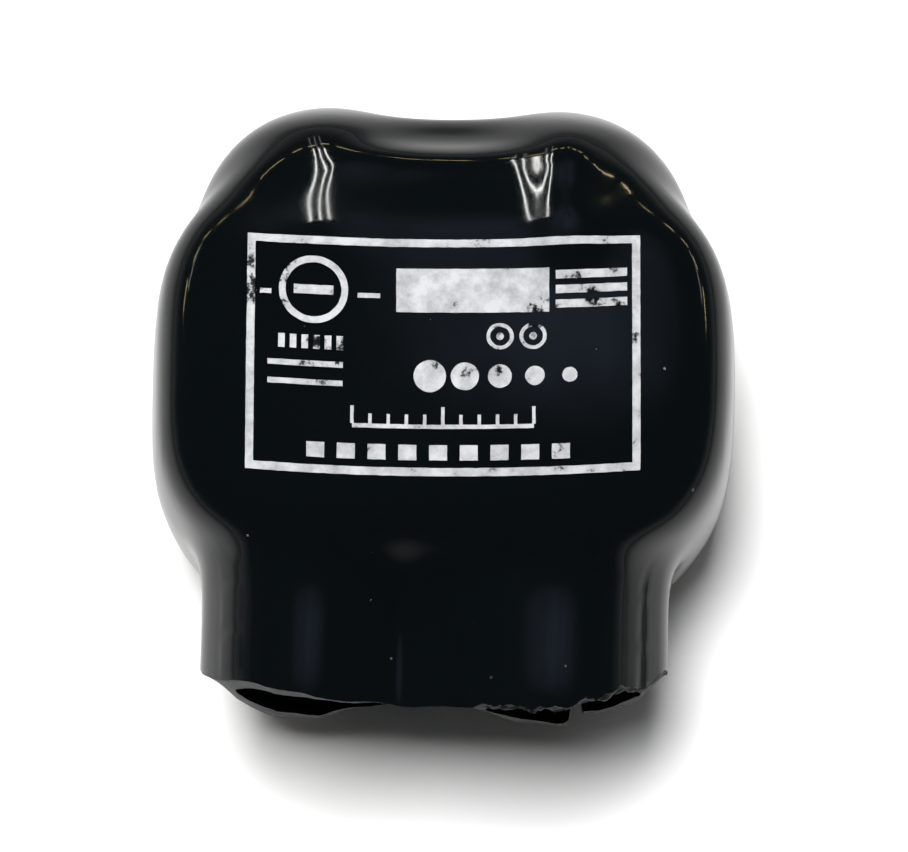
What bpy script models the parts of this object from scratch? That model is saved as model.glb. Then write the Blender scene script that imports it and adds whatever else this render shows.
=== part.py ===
"""Two-port insulated tap connector for building wire, as it lies on a bench with its printed face up.

A solid aluminium terminal block takes a stripped wire in each port. A set screw behind a pull-out
plug clamps it. The block is dip coated in soft black vinyl, which also forms the two wire sleeves.

Metres, +Z up. The wires enter along +Y from the front, and the set screws are driven upwards from
the underside. The origin is the centre of the footprint, on the surface that the connector lies on.
"""

import math

import bmesh
import bpy
import numpy as np
from mathutils import Matrix, Vector

# Slotted set screws
SCREW_DIAMETER = 0.00794
SCREW_STANDS_OUT = 0.0010
SCREW_CHAMFER = 0.0006
SCREW_POINT_STEP = 0.0014
SCREW_POINT_LENGTH = 0.0011
SCREW_TO_BORE = 0.0002
SLOT_WIDTH = 0.0013
SLOT_DEPTH = 0.0019

# Wire bores through the aluminium block
WIRE_BORE_DIAMETER = 0.0069
WIRE_BORE_CHAMFER = 0.0007
BLOCK_LENGTH = 0.0159
BLOCK_SIDE_WALL = 0.0031
BLOCK_ROOF = 0.0025
BLOCK_FLOOR = 0.0072
BLOCK_CORNER_RADIUS = 0.0028
BLOCK_EDGE_BREAK = 0.0007
TAP_RISE = 0.0012
TAP_CHAMFER = 0.0005

# Vinyl jacket, as dipped
COAT = 0.0026
FIT_GAP = 0.0003
SLEEVE_EASE = 0.00095
SLEEVE_WALL = 0.0016
SLEEVE_LENGTH = 0.0108
FRONT_CORNER_RADIUS = 0.0064
BACK_CORNER_RADIUS = 0.0080
SHOULDER_RADIUS = 0.0052
WAIST = 0.10
BULGE = 0.0002
CROWN = 0.0021
FRONT_RUN = 0.0006
FRONT_DROOP = 0.0015
DROOP_LENGTH = 0.0116
SLEEVE_RUN = 0.00025
GROOVE_DEPTH = 0.0017

# Rounded far tips over the ends of the wire bores, with a saddle between them
TIP_LENGTH = 0.0040
TIP_NOSE = 0.0072
TIP_RUN = 0.00025
TIP_SPREAD = 0.0011
TIP_OVERLAP = 0.0011
TIP_FULLNESS = 1.38
SADDLE_LENGTH = 0.0010
SADDLE_RISE = 0.0003
VALLEY_DEPTH = 0.0009
VALLEY_INSET = 0.0010

# The sleeves lean a little to the left, and so does the groove between them
LEAN = 0.00025
GROOVE_SHIFT = 0.0019
LEFT_BULGE = 0.00025
RIGHT_BULGE = 0.0002

# Mouth, trimmed by hand with the knife leaning, so that the top reaches out over the bottom: the share
# of the way from the middle to the outer side of a sleeve, how far back the cut lies there at the
# height of the wire, and its share of the full overhang
TRIM_OVERHANG = 0.0008
TRIM_WAVE = 0.0001
MOUTH_EDGE = ((-1.02, 0.0027, 0.0), (-0.96, 0.0020, 0.0), (-0.88, 0.0013, 0.1), (-0.70, 0.0004, 0.5),
              (-0.52, 0.0001, 0.9), (-0.27, 0.0005, 1.4), (0.0, 0.0005, 1.8), (0.36, 0.0, 0.9),
              (0.55, 0.0, 0.9), (0.60, 0.0005, 0.9), (0.70, 0.0006, 0.8), (0.79, 0.0010, 0.7),
              (0.87, 0.0011, 0.8), (0.97, 0.0024, 0.6))

# Screw access holes, with a collar and a plug each
ACCESS_CLEARANCE = 0.00033
COLLAR_WALL = 0.0018
COLLAR_HEIGHT = 0.0020
PLUG_LIP = 0.0001
PLUG_SPACING = 0.0006
PLUG_FLANGE_THICKNESS = 0.0016
PLUG_EDGE_BREAK = 0.0004
PLUG_STEM_SHORT_OF_SCREW = 0.0008
PLUG_BEAD_RISE = 0.0003
PLUG_BEAD_HEIGHT = 0.0012
PLUG_STEM_WALL = 0.0012
NAIL_NOTCH_RADIUS = 0.0016
NAIL_NOTCH_DEPTH = 0.0007

ROUND_SIDES = 40
VOXEL = 0.0007
FLOW_STEPS = 34
JACKET_KEPT = 0.16
REACH = 0.0010

# Plugs sit side by side, which sets the pitch of the ports
ACCESS_DIAMETER = SCREW_DIAMETER + 2 * ACCESS_CLEARANCE
COLLAR_RADIUS = ACCESS_DIAMETER / 2 + COLLAR_WALL
PLUG_FLANGE_DIAMETER = 2 * (COLLAR_RADIUS + PLUG_LIP)
PORT_PITCH = PLUG_FLANGE_DIAMETER + PLUG_SPACING
PORTS = (("left", -PORT_PITCH / 2), ("right", PORT_PITCH / 2))
BLOCK_WIDTH = PORT_PITCH + WIRE_BORE_DIAMETER + 2 * BLOCK_SIDE_WALL

# Heights of the main faces, from the surface up
COLLAR_FACE_Z = PLUG_FLANGE_THICKNESS + FIT_GAP
UNDERSIDE_Z = COLLAR_FACE_Z + COLLAR_HEIGHT
BLOCK_BOTTOM_Z = UNDERSIDE_Z + COAT + FIT_GAP
BLOCK_HEIGHT = BLOCK_FLOOR + WIRE_BORE_DIAMETER + BLOCK_ROOF
BLOCK_TOP_Z = BLOCK_BOTTOM_Z + BLOCK_HEIGHT
TOP_FACE_Z = BLOCK_TOP_Z + FIT_GAP + COAT
WIRE_Z = BLOCK_BOTTOM_Z + BLOCK_FLOOR + WIRE_BORE_DIAMETER / 2
SCREW_Z = BLOCK_BOTTOM_Z - SCREW_STANDS_OUT
SCREW_LENGTH = BLOCK_FLOOR - SCREW_TO_BORE + SCREW_STANDS_OUT

# Places along the wires
SLEEVE_BORE_RADIUS = WIRE_BORE_DIAMETER / 2 + SLEEVE_EASE
BARREL_RADIUS = SLEEVE_BORE_RADIUS + SLEEVE_WALL
FRONT_REACH = BLOCK_LENGTH / 2 + SLEEVE_LENGTH
BACK_REACH = BLOCK_LENGTH / 2 + TIP_LENGTH + COAT
BLOCK_Y = (FRONT_REACH + TRIM_OVERHANG - BACK_REACH) / 2
MOUTH_Y = BLOCK_Y - FRONT_REACH
TIP_Y = BLOCK_Y + BACK_REACH
BODY_LENGTH = BLOCK_LENGTH + 2 * (FIT_GAP + COAT)
BODY_WIDTH = BLOCK_WIDTH + 2 * (FIT_GAP + COAT)
BARREL_EDGE = PORT_PITCH / 2 + BARREL_RADIUS


def clear_scene():
    for obj in list(bpy.data.objects):
        bpy.data.objects.remove(obj)


def make_material(name, colour, metallic, roughness):
    material = bpy.data.materials.new(name)
    material.use_nodes = True
    surface = material.node_tree.nodes["Principled BSDF"]
    surface.inputs["Base Color"].default_value = (*colour, 1)
    surface.inputs["Metallic"].default_value = metallic
    surface.inputs["Roughness"].default_value = roughness
    return material


def new_object(name, shape, material=None):
    mesh = bpy.data.meshes.new(name)
    shape.to_mesh(mesh)
    shape.free()
    obj = bpy.data.objects.new(name, mesh)
    bpy.context.scene.collection.objects.link(obj)
    if material:
        mesh.materials.append(material)
    return obj


def box_shape(centre, size):
    shape = bmesh.new()
    bmesh.ops.create_cube(shape, size=1)
    bmesh.ops.scale(shape, vec=size, verts=shape.verts)
    bmesh.ops.translate(shape, vec=centre, verts=shape.verts)
    return shape


def turned_shape(profile):
    """Closed solid turned about Z. The profile starts and ends on the axis."""
    shape = bmesh.new()
    verts = [shape.verts.new((radius, 0, height)) for radius, height in profile]
    edges = [shape.edges.new(pair) for pair in zip(verts, verts[1:])]
    bmesh.ops.spin(shape, geom=verts + edges, cent=(0, 0, 0), axis=(0, 0, 1), angle=math.tau,
                   steps=ROUND_SIDES, use_merge=True)
    bmesh.ops.remove_doubles(shape, verts=shape.verts, dist=1e-6)
    bmesh.ops.recalc_face_normals(shape, faces=shape.faces)
    return shape


def along_wire(shape, x, y):
    """Lays a turned solid down so that its +Z runs along +Y, on a wire axis."""
    laid = Matrix.Translation((x, y, WIRE_Z)) @ Matrix.Rotation(-math.pi / 2, 4, "X")
    bmesh.ops.transform(shape, matrix=laid, verts=shape.verts)
    return shape


def moved(shape, place):
    bmesh.ops.translate(shape, vec=place, verts=shape.verts)
    return shape


def joined(shapes):
    whole = bmesh.new()
    for shape in shapes:
        mesh = bpy.data.meshes.new("piece")
        shape.to_mesh(mesh)
        shape.free()
        whole.from_mesh(mesh)
        bpy.data.meshes.remove(mesh)
    return whole


def bevelled(shape, edges, radius, segments):
    bmesh.ops.bevel(shape, geom=edges, offset=radius, offset_type="OFFSET", affect="EDGES",
                    segments=segments, profile=0.5, material=-1, clamp_overlap=True)
    return shape


def upright_edges(shape):
    return [edge for edge in shape.edges
            if abs(edge.verts[0].co.z - edge.verts[1].co.z) > 1e-4]


def rim_edges(shape):
    """Edges that run around the top and the bottom face."""
    low = min(vert.co.z for vert in shape.verts)
    high = max(vert.co.z for vert in shape.verts)
    return [edge for edge in shape.edges
            if any(all(abs(vert.co.z - level) < 1e-6 for vert in edge.verts) for level in (low, high))]


def cut(obj, name, shape):
    cutter = new_object(name.lower().replace(" ", "_") + "_cutter", shape)
    cutter.hide_render = True
    cutter.display_type = "WIRE"
    step = obj.modifiers.new(name, "BOOLEAN")
    step.operation = "DIFFERENCE"
    step.solver = "EXACT"
    step.object = cutter


def block_shape(grow=0.0):
    size = (BLOCK_WIDTH + 2 * grow, BLOCK_LENGTH + 2 * grow, BLOCK_HEIGHT + 2 * grow)
    shape = box_shape((0, BLOCK_Y, BLOCK_BOTTOM_Z + BLOCK_HEIGHT / 2), size)
    bevelled(shape, upright_edges(shape), BLOCK_CORNER_RADIUS + grow, 5)
    return bevelled(shape, rim_edges(shape), BLOCK_EDGE_BREAK + grow, 2)


def body_shape():
    """Coat over the block, crowned across the printed face and drawn down towards the sleeves."""
    low = Vector((-BODY_WIDTH / 2, BLOCK_Y - BODY_LENGTH / 2 - FRONT_RUN, UNDERSIDE_Z - BULGE))
    high = Vector((BODY_WIDTH / 2, BLOCK_Y + BODY_LENGTH / 2, TOP_FACE_Z + BULGE))
    middle, half = (low + high) / 2, (high - low) / 2
    shape = box_shape(middle, 2 * half)
    front = [edge for edge in upright_edges(shape) if edge.verts[0].co.y < middle.y]
    bevelled(shape, front, FRONT_CORNER_RADIUS, 6)
    back = [edge for edge in upright_edges(shape) if edge.verts[0].co.y > high.y - REACH / 10]
    bevelled(shape, back, BACK_CORNER_RADIUS, 6)
    bmesh.ops.subdivide_edges(shape, edges=upright_edges(shape), cuts=6)
    bevelled(shape, rim_edges(shape), SHOULDER_RADIUS, 5)
    for axis in (0, 1):
        normal = Vector((1 - axis, axis, 0))
        for step in range(-5, 6):
            place = middle + normal * half[axis] * step / 6
            bmesh.ops.bisect_plane(shape, geom=shape.verts[:] + shape.edges[:] + shape.faces[:], dist=1e-7,
                                   plane_co=place, plane_no=normal)
    for vert in shape.verts:
        across, along, up = ((vert.co[i] - middle[i]) / half[i] for i in range(3))
        droop = max(0, (low.y + DROOP_LENGTH - vert.co.y) / DROOP_LENGTH) ** 2
        vert.co.x *= 1 - WAIST * (along * along + up * up) / 2
        vert.co.x -= LEAN * droop
        vert.co.z -= CROWN * across * across * up + FRONT_DROOP * droop * max(0, up)
    return shape


def barrel_shape(low_x, high_x, start, end, nose):
    """Barrel along a wire with a rounded nose at its start. It may be wider than it is high."""
    profile, steps = [(0, 0)], 7
    rounded = min(nose, BARREL_RADIUS)
    for step in range(steps + 1):
        turn = math.pi / 2 * step / steps
        profile.append((BARREL_RADIUS - rounded * (1 - math.sin(turn)), nose * (1 - math.cos(turn))))
    profile = [point for point in profile if point[0] > 0 or point == profile[0]]
    length = abs(end - start)
    shape = turned_shape(profile + [(BARREL_RADIUS, length), (0, length)])
    bmesh.ops.scale(shape, vec=((high_x - low_x) / 2 / BARREL_RADIUS, 1 + SLEEVE_RUN / BARREL_RADIUS, 1),
                    verts=shape.verts)
    if end < start:
        bmesh.ops.rotate(shape, cent=(0, 0, 0), matrix=Matrix.Rotation(math.pi, 3, "X"), verts=shape.verts)
    return along_wire(shape, (low_x + high_x) / 2, start)


def tip_shape(x):
    """Far tip on one side, fuller above the wire, where the coat runs up over the block's back edge."""
    outer = BARREL_EDGE + TIP_SPREAD if x > 0 else -BARREL_EDGE - TIP_SPREAD - LEFT_BULGE
    inner = math.copysign(TIP_OVERLAP, -x)
    shape = barrel_shape(min(inner, outer), max(inner, outer), TIP_Y + TIP_RUN, BLOCK_Y, TIP_NOSE)
    for vert in shape.verts:
        if vert.co.z > WIRE_Z:
            vert.co.z = WIRE_Z + (vert.co.z - WIRE_Z) * TIP_FULLNESS
    return shape


def collar_shape(x):
    height = BLOCK_BOTTOM_Z - COLLAR_FACE_Z + REACH
    shape = turned_shape([(0, -REACH), (COLLAR_RADIUS, -REACH), (COLLAR_RADIUS, height), (0, height)])
    return moved(shape, (x, BLOCK_Y, COLLAR_FACE_Z))


def web_shape(width, start, end, height):
    return box_shape((0, (start + end) / 2, WIRE_Z), (width, end - start, height))


def mouth_trim_shape():
    """Everything in front of the wavy cut that a knife left at the mouth."""
    half_width, half_height = BODY_WIDTH / 2 + REACH, BARREL_RADIUS + 4 * REACH
    shares, backs, leans = zip(*MOUTH_EDGE)
    shape = bmesh.new()
    bmesh.ops.create_grid(shape, x_segments=60, y_segments=26, size=1)
    for vert in shape.verts:
        x, z = vert.co.x * half_width, vert.co.y * half_height
        back = np.interp(x / BARREL_EDGE, shares, backs)
        overhang = TRIM_OVERHANG * np.interp(x / BARREL_EDGE, shares, leans) * z / BARREL_RADIUS
        wave = TRIM_WAVE * (math.sin(x * 720) + math.sin(x * 1900 + z * 350))
        vert.co = (x, MOUTH_Y + back - overhang + wave, WIRE_Z + z)
    sheet = bmesh.ops.extrude_face_region(shape, geom=shape.faces[:])
    for vert in (item for item in sheet["geom"] if isinstance(item, bmesh.types.BMVert)):
        vert.co.y = MOUTH_Y - 8 * REACH
    bmesh.ops.recalc_face_normals(shape, faces=shape.faces)
    return shape


def wireway_shape(x):
    """Sleeve bore up to the block, then the closed pocket that takes the end of the wire."""
    sleeve, pocket = SLEEVE_BORE_RADIUS, WIRE_BORE_DIAMETER / 2
    start = MOUTH_Y - TRIM_OVERHANG - 4 * REACH
    step, end = BLOCK_Y - start, TIP_Y - COAT - start
    shape = turned_shape([(0, 0), (sleeve, 0), (sleeve, step), (pocket, step), (pocket, end - pocket / 2),
                          (pocket * 0.7, end - pocket / 8), (0, end)])
    return along_wire(shape, x, start)


def make_jacket(material):
    front = MOUTH_Y - TRIM_OVERHANG - REACH
    left, right = -BARREL_EDGE - LEFT_BULGE - LEAN, BARREL_EDGE - LEAN + RIGHT_BULGE
    middle = -GROOVE_SHIFT - LEAN
    back = BLOCK_Y + BODY_LENGTH / 2
    shapes = [body_shape(),
              barrel_shape(left, middle, front, BLOCK_Y, REACH),
              barrel_shape(middle, right, front, BLOCK_Y, REACH),
              web_shape(PORT_PITCH, front, BLOCK_Y, 2 * (BARREL_RADIUS - GROOVE_DEPTH)),
              web_shape(PORT_PITCH, BLOCK_Y, back + SADDLE_LENGTH, 2 * (BARREL_RADIUS + SADDLE_RISE)),
              web_shape(PORT_PITCH, BLOCK_Y, TIP_Y - VALLEY_INSET, 2 * (BARREL_RADIUS - VALLEY_DEPTH))]
    for _, x in PORTS:
        shapes += [tip_shape(x), collar_shape(x)]
    jacket = new_object("insulating_jacket", joined(shapes), material)
    remesh = jacket.modifiers.new("Dip", "REMESH")
    remesh.mode = "VOXEL"
    remesh.voxel_size = VOXEL
    flow = jacket.modifiers.new("Flow", "SMOOTH")
    flow.factor = 0.5
    flow.iterations = FLOW_STEPS
    thin = jacket.modifiers.new("Thin", "DECIMATE")
    thin.ratio = JACKET_KEPT
    cut(jacket, "Mouth trim", mouth_trim_shape())
    cut(jacket, "Collar trim", box_shape((0, BLOCK_Y, COLLAR_FACE_Z - REACH),
                                         (2 * PORT_PITCH + 4 * REACH, PORT_PITCH + 4 * REACH, 2 * REACH)))
    cut(jacket, "Block seat", block_shape(FIT_GAP))
    cut(jacket, "Wireways", joined([wireway_shape(x) for _, x in PORTS]))
    access, start, end = ACCESS_DIAMETER / 2, COLLAR_FACE_Z - REACH, BLOCK_BOTTOM_Z + REACH
    cut(jacket, "Access holes", joined([
        moved(turned_shape([(0, start), (access, start), (access, end), (0, end)]), (x, BLOCK_Y, 0))
        for _, x in PORTS]))
    return jacket


def make_block(material):
    block = new_object("terminal_block", block_shape(), material)
    bore, half, chamfer = WIRE_BORE_DIAMETER / 2, BLOCK_LENGTH / 2, WIRE_BORE_CHAMFER
    wide = bore + chamfer + REACH
    cut(block, "Wire bores", joined([
        along_wire(turned_shape([(0, -half - REACH), (wide, -half - REACH), (bore, -half + chamfer),
                                 (bore, half - chamfer), (wide, half + REACH), (0, half + REACH)]), x, BLOCK_Y)
        for _, x in PORTS]))
    tap = SCREW_DIAMETER / 2 + FIT_GAP
    top = WIRE_Z - BLOCK_BOTTOM_Z + TAP_RISE
    cut(block, "Tapped holes", joined([
        moved(turned_shape([(0, -REACH), (tap + TAP_CHAMFER + REACH, -REACH), (tap, TAP_CHAMFER), (tap, top),
                            (0, top + TAP_CHAMFER)]), (x, BLOCK_Y, BLOCK_BOTTOM_Z))
        for _, x in PORTS]))
    return block


def make_screw(side, x, material):
    radius, point = SCREW_DIAMETER / 2, SCREW_DIAMETER / 2 - SCREW_POINT_STEP
    neck = SCREW_LENGTH - SCREW_POINT_LENGTH
    shape = turned_shape([(0, 0), (radius - SCREW_CHAMFER, 0), (radius, SCREW_CHAMFER),
                          (radius, neck - SCREW_CHAMFER), (point, neck),
                          (point, SCREW_LENGTH - SCREW_CHAMFER / 2),
                          (point - SCREW_CHAMFER / 2, SCREW_LENGTH), (0, SCREW_LENGTH)])
    screw = new_object("set_screw_" + side, shape, material)
    cut(screw, "Driver slot " + side, box_shape((0, 0, 0), (2 * SCREW_DIAMETER, SLOT_WIDTH, 2 * SLOT_DEPTH)))
    screw.location = (x, BLOCK_Y, SCREW_Z)
    bpy.data.objects["driver_slot_" + side + "_cutter"].location = screw.location
    return screw


def make_plug(side, x, material):
    flange, bead = PLUG_FLANGE_DIAMETER / 2, ACCESS_DIAMETER / 2 - FIT_GAP
    stem = bead - PLUG_BEAD_RISE
    hollow, rim, top = stem - PLUG_STEM_WALL, PLUG_FLANGE_THICKNESS, SCREW_Z - PLUG_STEM_SHORT_OF_SCREW
    edge, swell = PLUG_EDGE_BREAK, PLUG_BEAD_HEIGHT / 2
    middle = (rim + top) / 2
    shape = turned_shape([(0, 0), (flange - edge, 0), (flange, edge), (flange, rim - edge),
                          (flange - edge, rim), (stem, rim), (stem, middle - swell), (bead, middle), (stem, middle + swell),
                          (stem, top - edge), (stem - edge, top), (hollow, top), (hollow, rim), (0, rim)])
    plug = new_object("access_plug_" + side, shape, material)
    notch = turned_shape([(0, -REACH), (NAIL_NOTCH_RADIUS, -REACH), (NAIL_NOTCH_RADIUS, rim + REACH),
                          (0, rim + REACH)])
    cut(plug, "Nail notch " + side, moved(notch, (0, -flange - NAIL_NOTCH_RADIUS + NAIL_NOTCH_DEPTH, 0)))
    plug.location = (x, BLOCK_Y, 0)
    bpy.data.objects["nail_notch_" + side + "_cutter"].location = plug.location
    return plug


def main():
    clear_scene()
    make_jacket(make_material("black_vinyl", (0.006, 0.008, 0.010), 0, 0.22))
    make_block(make_material("extruded_aluminium", (0.78, 0.79, 0.80), 1, 0.34))
    for side, x in PORTS:
        make_screw(side, x, make_material("plated_steel_" + side, (0.62, 0.60, 0.55), 1, 0.30))
        make_plug(side, x, make_material("plug_rubber_" + side, (0.012, 0.012, 0.013), 0, 0.48))


main()
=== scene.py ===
import math

import bmesh
import bpy
from mathutils import Matrix, Vector, noise
from mathutils.bvhtree import BVHTree


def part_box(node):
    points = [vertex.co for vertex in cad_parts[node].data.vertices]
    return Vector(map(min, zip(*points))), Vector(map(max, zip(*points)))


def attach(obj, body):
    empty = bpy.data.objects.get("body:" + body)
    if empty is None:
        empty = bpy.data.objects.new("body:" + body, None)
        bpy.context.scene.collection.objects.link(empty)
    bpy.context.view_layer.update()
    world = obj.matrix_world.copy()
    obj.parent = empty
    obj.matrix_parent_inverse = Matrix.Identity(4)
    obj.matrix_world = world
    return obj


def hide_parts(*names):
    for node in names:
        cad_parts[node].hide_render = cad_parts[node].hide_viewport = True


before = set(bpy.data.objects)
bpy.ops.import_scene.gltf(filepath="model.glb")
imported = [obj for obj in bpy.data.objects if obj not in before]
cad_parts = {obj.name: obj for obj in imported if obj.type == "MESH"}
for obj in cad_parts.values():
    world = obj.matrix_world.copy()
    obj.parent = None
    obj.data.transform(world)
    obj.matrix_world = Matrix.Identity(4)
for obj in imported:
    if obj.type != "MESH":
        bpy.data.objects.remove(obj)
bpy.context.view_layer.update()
mm = 0.001

blockLow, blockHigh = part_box("terminal_block")
screwLow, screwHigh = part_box("set_screw_right")
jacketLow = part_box("insulating_jacket")[0]

portX = (screwLow.x + screwHigh.x) / 2  # half the distance between the two wire bores
blockY = (blockLow.y + blockHigh.y) / 2
boreRadius = 3.45 * mm
boreWall = 2.5 * mm  # metal over the bores
wireZ = blockHigh.z - boreWall - boreRadius
sleeveRadius = 4.4 * mm
barrelRadius = 6.0 * mm
ports = {"left": -portX, "right": portX}


# Small tools

def say(words):
    print("scene: " + words)


def newPiece(name, bm, *materials):
    mesh = bpy.data.meshes.new(name)
    bm.to_mesh(mesh)
    bm.free()
    for material in materials:
        mesh.materials.append(material)
    piece = bpy.data.objects.new(name, mesh)
    bpy.context.scene.collection.objects.link(piece)
    return piece


def applyModifiers(piece):
    graph = bpy.context.evaluated_depsgraph_get()
    final = piece.evaluated_get(graph)
    mesh = bpy.data.meshes.new_from_object(final, preserve_all_data_layers=True, depsgraph=graph)
    old = piece.data
    piece.modifiers.clear()
    piece.data = mesh
    bpy.data.meshes.remove(old)


def shadeRound(piece, angle=38):
    piece.data.shade_smooth()
    piece.data.set_sharp_from_angle(angle=math.radians(angle))


def joinForms(forms):
    whole = bmesh.new()
    for form in forms:
        mesh = bpy.data.meshes.new("form")
        form.to_mesh(mesh)
        form.free()
        whole.from_mesh(mesh)
        bpy.data.meshes.remove(mesh)
    return whole


def roundOff(bm, edges, radius, segments):
    bmesh.ops.bevel(bm, geom=edges, offset=radius, offset_type="OFFSET", affect="EDGES", segments=segments,
                    profile=0.5, material=-1, clamp_overlap=True)


def boxForm(low, high):
    low, high = Vector(low), Vector(high)
    bm = bmesh.new()
    bmesh.ops.create_cube(bm, size=1)
    bmesh.ops.scale(bm, vec=high - low, verts=bm.verts)
    bmesh.ops.translate(bm, vec=(low + high) / 2, verts=bm.verts)
    return bm


def turnedForm(profile, steps=96):  # profile runs from axis to axis as (radius, height)
    bm = bmesh.new()
    verts = [bm.verts.new((radius, 0, height)) for radius, height in profile]
    edges = [bm.edges.new(pair) for pair in zip(verts, verts[1:])]
    bmesh.ops.spin(bm, geom=verts + edges, cent=(0, 0, 0), axis=(0, 0, 1), angle=math.tau, steps=steps,
                   use_merge=True)
    bmesh.ops.remove_doubles(bm, verts=bm.verts, dist=1e-7)
    bmesh.ops.recalc_face_normals(bm, faces=bm.faces)
    return bm


def layAlongWire(bm, x, y):  # the form's +Z then runs along +Y
    bmesh.ops.transform(bm, matrix=Matrix.Translation((x, y, wireZ)) @ Matrix.Rotation(-math.pi / 2, 4, "X"),
                        verts=bm.verts)
    return bm


def shifted(bm, place):
    bmesh.ops.translate(bm, vec=place, verts=bm.verts)
    return bm


def uprightEdges(bm):
    return [e for e in bm.edges if abs(e.verts[0].co.z - e.verts[1].co.z) > 0.1 * mm]


def rimEdges(bm):  # round the bottom and the top
    levels = (min(v.co.z for v in bm.verts), max(v.co.z for v in bm.verts))
    return [e for e in bm.edges if any(all(abs(v.co.z - level) < 1e-6 for v in e.verts) for level in levels)]


def smoothStep(low, high, value):
    t = min(max((value - low) / (high - low), 0), 1)
    return t * t * (3 - 2 * t)


# Shader groups shared by several finishes

def addSocket(group, name, side, kind="NodeSocketFloat", value=None):
    socket = group.interface.new_socket(name=name, in_out=side, socket_type=kind)
    if value is not None:
        socket.default_value = value


def node(tree, kind, links=None, **values):
    made = tree.nodes.new(kind)
    for key, value in values.items():
        setattr(made, key, value)
    for name, value in (links or {}).items():
        socket = made.inputs[name]
        if isinstance(value, bpy.types.NodeSocket):
            tree.links.new(value, socket)
        else:
            socket.default_value = value
    return made


def maths(tree, operation, first, second):
    return node(tree, "ShaderNodeMath", {0: first, 1: second}, operation=operation).outputs[0]


def remap(tree, value, source=(0, 1), target=(0, 1)):
    return node(tree, "ShaderNodeMapRange", {
        "Value": value, "From Min": source[0], "From Max": source[1],
        "To Min": target[0], "To Max": target[1]}).outputs["Result"]


def blend(tree, share, first, second):
    return node(tree, "ShaderNodeMix", {"Factor": share, "A": first, "B": second},
                data_type="RGBA").outputs["Result"]


def cloudy(tree, place, scale, detail, roughness=0.5, distortion=0):
    return node(tree, "ShaderNodeTexNoise", {
        "Vector": place, "Scale": scale, "Detail": detail, "Roughness": roughness,
        "Distortion": distortion}).outputs["Fac"]


speckSize = (0.02, 0.075)  # as a share of the cell that a speck lies in


def buildDustGroup():
    group = bpy.data.node_groups.new("dustSpecks", "ShaderNodeTree")
    addSocket(group, "Vector", "INPUT", "NodeSocketVector")
    addSocket(group, "Scale", "INPUT", value=900)
    addSocket(group, "Amount", "INPUT", value=0.2)
    addSocket(group, "Mask", "OUTPUT")
    ins = group.nodes.new("NodeGroupInput")
    outs = group.nodes.new("NodeGroupOutput")
    cells = node(group, "ShaderNodeTexVoronoi", {
        "Vector": ins.outputs["Vector"], "Scale": ins.outputs["Scale"], "Randomness": 1.0})
    pick = node(group, "ShaderNodeSeparateColor", {"Color": cells.outputs["Color"]})
    few = maths(group, "LESS_THAN", pick.outputs["Red"], ins.outputs["Amount"])
    size = remap(group, pick.outputs["Green"], target=speckSize)
    near = maths(group, "LESS_THAN", cells.outputs["Distance"], size)
    group.links.new(maths(group, "MULTIPLY", few, near), outs.inputs["Mask"])
    return group


scuffLook = {"smudgeScale": 170, "smudgeFrom": (0.48, 0.72), "scratchTurn": (0.3, 0.9, 0.7),
             "scratchStretch": (1, 14, 1), "scratchScale": 420, "scratchFrom": (0.66, 0.74)}


def buildScuffGroup():
    s = scuffLook
    group = bpy.data.node_groups.new("handlingScuffs", "ShaderNodeTree")
    addSocket(group, "Vector", "INPUT", "NodeSocketVector")
    addSocket(group, "Base Roughness", "INPUT", value=0.15)
    addSocket(group, "Smudge", "INPUT", value=0.08)
    addSocket(group, "Scratch", "INPUT", value=0.1)
    addSocket(group, "Roughness", "OUTPUT")
    ins = group.nodes.new("NodeGroupInput")
    outs = group.nodes.new("NodeGroupOutput")
    cloud = cloudy(group, ins.outputs["Vector"], s["smudgeScale"], 4, roughness=0.6, distortion=0.6)
    smudged = maths(group, "MULTIPLY", remap(group, cloud, s["smudgeFrom"]), ins.outputs["Smudge"])
    turned = node(group, "ShaderNodeMapping", {
        "Vector": ins.outputs["Vector"], "Rotation": s["scratchTurn"], "Scale": s["scratchStretch"]})
    grooves = cloudy(group, turned.outputs["Vector"], s["scratchScale"], 3)
    scratched = maths(group, "MULTIPLY", remap(group, grooves, s["scratchFrom"]), ins.outputs["Scratch"])
    base = maths(group, "ADD", ins.outputs["Base Roughness"], smudged)
    group.links.new(maths(group, "ADD", base, scratched), outs.inputs["Roughness"])
    return group


toolLook = {"scale": 330, "lineFrom": (0.3, 0.7), "roughnessSpread": (-0.09, 0.14)}


def buildToolMarkGroup():
    s = toolLook
    group = bpy.data.node_groups.new("toolMarks", "ShaderNodeTree")
    addSocket(group, "Vector", "INPUT", "NodeSocketVector")
    addSocket(group, "Stretch", "INPUT", "NodeSocketVector", value=(1, 1, 20))
    addSocket(group, "Base Roughness", "INPUT", value=0.3)
    addSocket(group, "Roughness", "OUTPUT")
    addSocket(group, "Height", "OUTPUT")
    ins = group.nodes.new("NodeGroupInput")
    outs = group.nodes.new("NodeGroupOutput")
    drawn = node(group, "ShaderNodeVectorMath", {0: ins.outputs["Vector"], 1: ins.outputs["Stretch"]},
                 operation="MULTIPLY")
    lines = cloudy(group, drawn.outputs["Vector"], s["scale"], 4, roughness=0.7)
    spread = remap(group, lines, s["lineFrom"], s["roughnessSpread"])
    total = maths(group, "ADD", ins.outputs["Base Roughness"], spread)
    group.links.new(total, outs.inputs["Roughness"])
    group.links.new(lines, outs.inputs["Height"])
    return group


dustSpecks = buildDustGroup()
handlingScuffs = buildScuffGroup()
toolMarks = buildToolMarkGroup()
say("shader groups built")


# Finishes

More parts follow.
